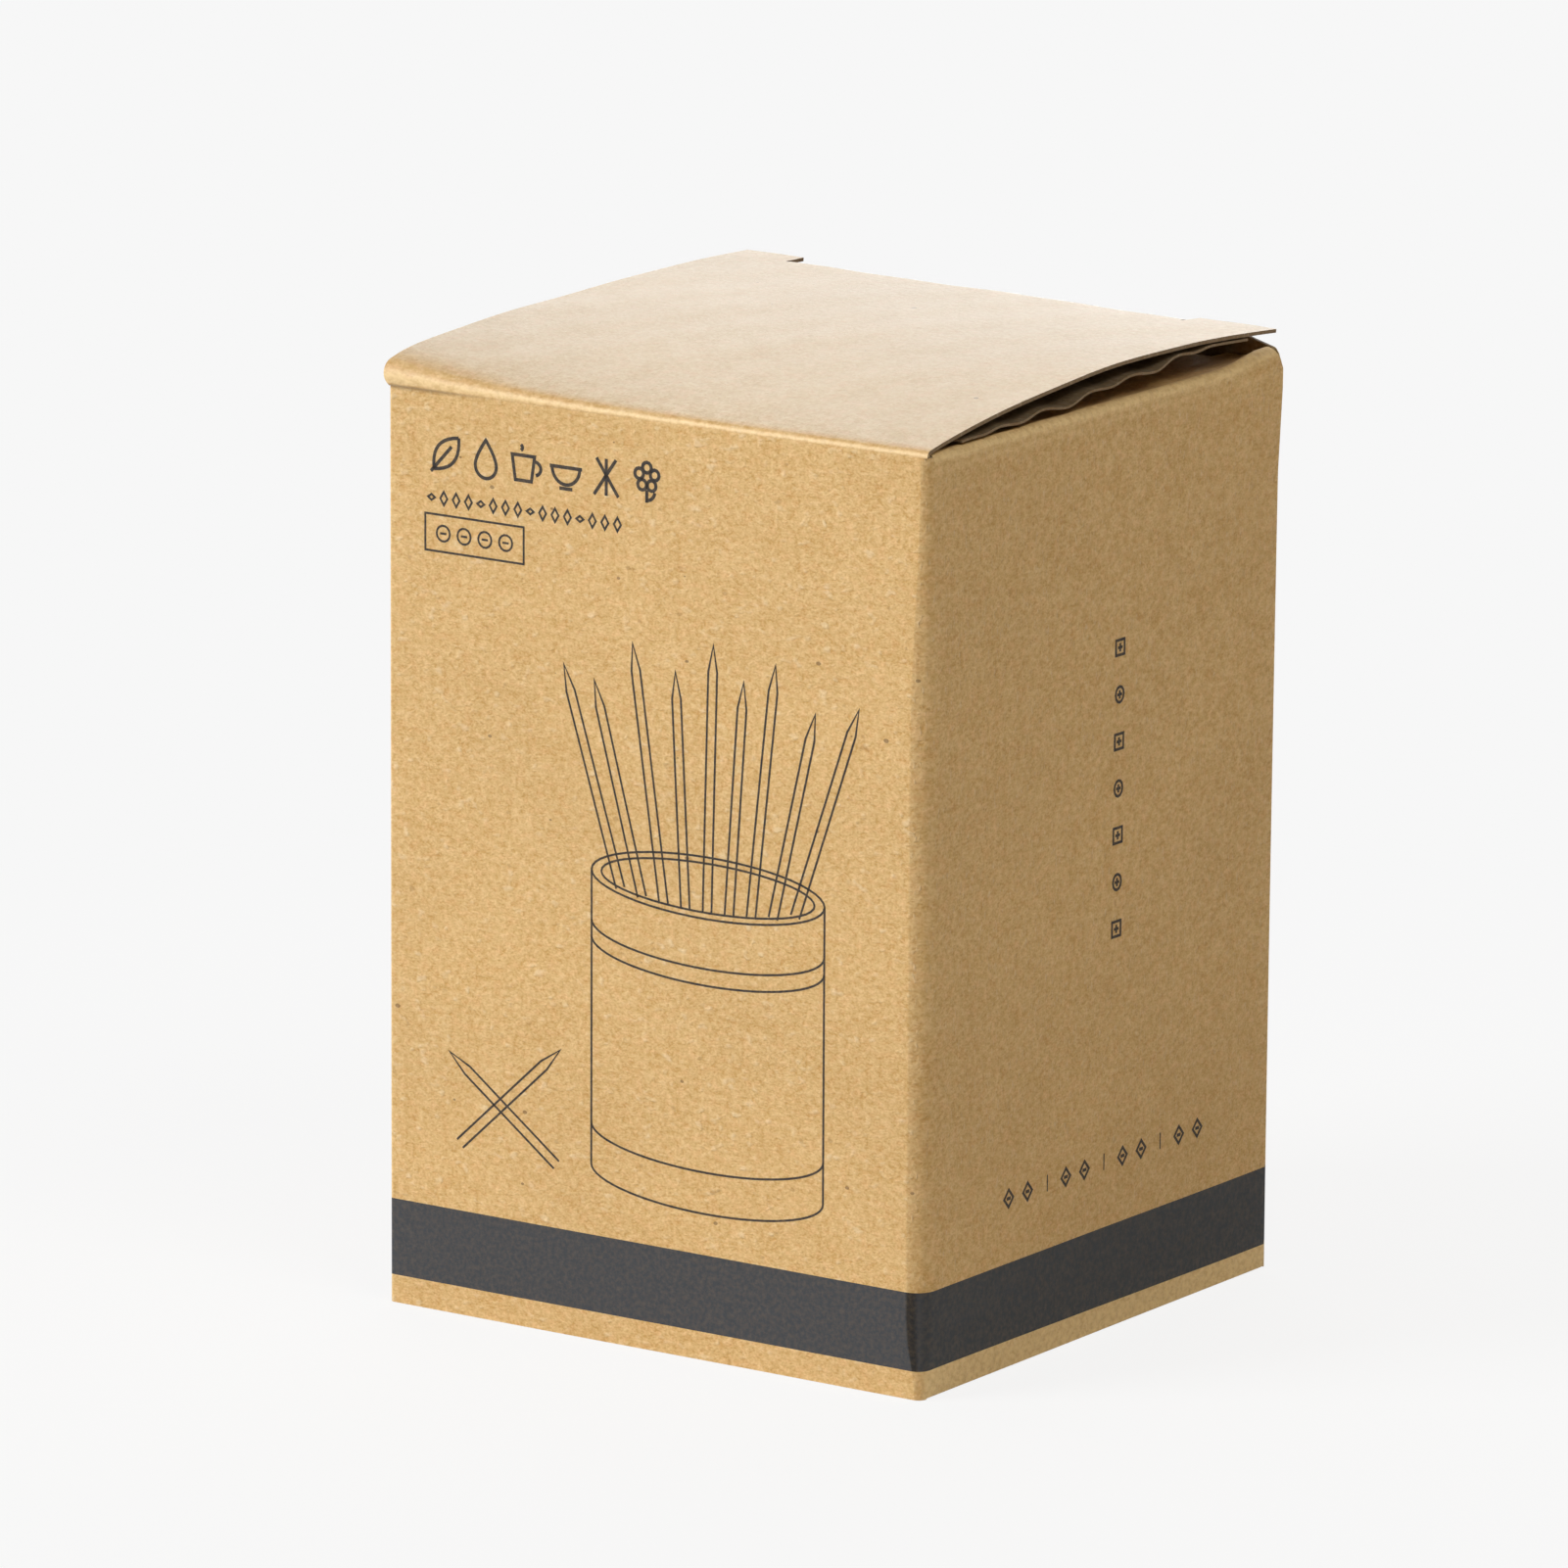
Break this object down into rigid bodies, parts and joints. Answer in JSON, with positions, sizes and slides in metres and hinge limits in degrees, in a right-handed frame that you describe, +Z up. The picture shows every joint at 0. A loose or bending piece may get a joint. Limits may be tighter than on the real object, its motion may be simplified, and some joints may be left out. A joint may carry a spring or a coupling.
{
  "type": "toothpick holder in a carton",
  "caption": "Kraft tuck-end carton with folding lids, tuck and dust flaps, holding a leaf-shaped toothpick holder whose ribbed lid rises on a sprung centre rod.",
  "frame": {"origin": "middle of the carton's foot, on the floor", "axes": "+Z up; the front wall, on which the top lid is hinged, faces -Y; +X to the right seen from the front"},
  "size_m": [0.076, 0.0742, 0.1173],
  "materials": {
    "kraft_board": "uncoated kraft paperboard",
    "cup_plastic": "fine matte",
    "insert_plastic": "satin",
    "lid_plastic": "matte with ribs",
    "steel": "bright drawn",
    "rubber": "matte"
  },
  "bodies": {
    "carton_and_cup": {"front_wall": "kraft_board", "right_wall": "kraft_board", "back_wall": "kraft_board", "left_wall": "kraft_board", "glue_flap": "kraft_board", "cup_shell": "cup_plastic", "divider_insert": "insert_plastic", "guide_bush": "insert_plastic", "cam_pin": "steel", "lift_spring": "steel", "plinth_base": "cup_plastic", "base_plate": "cup_plastic", "base_screws": "steel", "foot_pads": "rubber"},
    "carton_lid": {"top_lid": "kraft_board", "lid_liner": "kraft_board"},
    "carton_tuck": {"top_tuck_flap": "kraft_board"},
    "carton_dust_right": {"top_dust_flap_right": "kraft_board"},
    "carton_dust_left": {"top_dust_flap_left": "kraft_board"},
    "holder_lid": {"lid_cap": "lid_plastic", "lid_inner_plate": "insert_plastic", "lift_rod": "steel"},
    "carton_floor": {"bottom_lid": "kraft_board"},
    "floor_tuck": {"bottom_tuck_flap": "kraft_board"},
    "floor_dust_right": {"bottom_dust_flap_right": "kraft_board"},
    "floor_dust_left": {"bottom_dust_flap_left": "kraft_board"}
  },
  "joints": [
    {"name": "carton_lid_hinge", "type": "hinge", "parent": "carton_and_cup", "child": "carton_lid", "pos_m": [0, -0.03675, 0.11175], "axis": [1, 0, 0], "range_deg": [0, 178]},
    {"name": "carton_tuck_crease", "type": "hinge", "parent": "carton_lid", "child": "carton_tuck", "pos_m": [0, 0.03615, 0.11555], "axis": [1, 0, 0], "range_deg": [0, 54]},
    {"name": "carton_dust_right_crease", "type": "hinge", "parent": "carton_and_cup", "child": "carton_dust_right", "pos_m": [0.03775, 0, 0.1111], "axis": [0, 1, 0], "range_deg": [0, 178]},
    {"name": "carton_dust_left_crease", "type": "hinge", "parent": "carton_and_cup", "child": "carton_dust_left", "pos_m": [-0.03775, 0, 0.1111], "axis": [0, -1, 0], "range_deg": [0, 178]},
    {"name": "holder_lid_rise", "type": "slide", "parent": "carton_and_cup", "child": "holder_lid", "axis": [0, 0, 1], "range_m": [0, 0.042], "deforming": ["lift_spring"]},
    {"name": "carton_floor_hinge", "type": "hinge", "parent": "carton_and_cup", "child": "carton_floor", "pos_m": [0, 0.03675, 0.00025], "axis": [1, 0, 0], "range_deg": [0, 178]},
    {"name": "floor_tuck_crease", "type": "hinge", "parent": "carton_floor", "child": "floor_tuck", "pos_m": [0, -0.03615, 0.00025], "axis": [1, 0, 0], "range_deg": [0, 54]},
    {"name": "floor_dust_right_crease", "type": "hinge", "parent": "carton_and_cup", "child": "floor_dust_right", "pos_m": [0.03775, 0, 0.0009], "axis": [0, -1, 0], "range_deg": [0, 178]},
    {"name": "floor_dust_left_crease", "type": "hinge", "parent": "carton_and_cup", "child": "floor_dust_left", "pos_m": [-0.03775, 0, 0.0009], "axis": [0, 1, 0], "range_deg": [0, 178]}
  ],
  "couplings": [
    {"joint": "carton_tuck_crease", "follows": "carton_lid_hinge", "ratio": 0.3},
    {"joint": "carton_dust_right_crease", "follows": "carton_lid_hinge", "ratio": 1},
    {"joint": "carton_dust_left_crease", "follows": "carton_lid_hinge", "ratio": 1},
    {"joint": "holder_lid_rise", "follows": "carton_lid_hinge", "m_per_rad": 0.01351},
    {"joint": "floor_tuck_crease", "follows": "carton_floor_hinge", "ratio": 0.3},
    {"joint": "floor_dust_right_crease", "follows": "carton_floor_hinge", "ratio": 1},
    {"joint": "floor_dust_left_crease", "follows": "carton_floor_hinge", "ratio": 1}
  ]
}
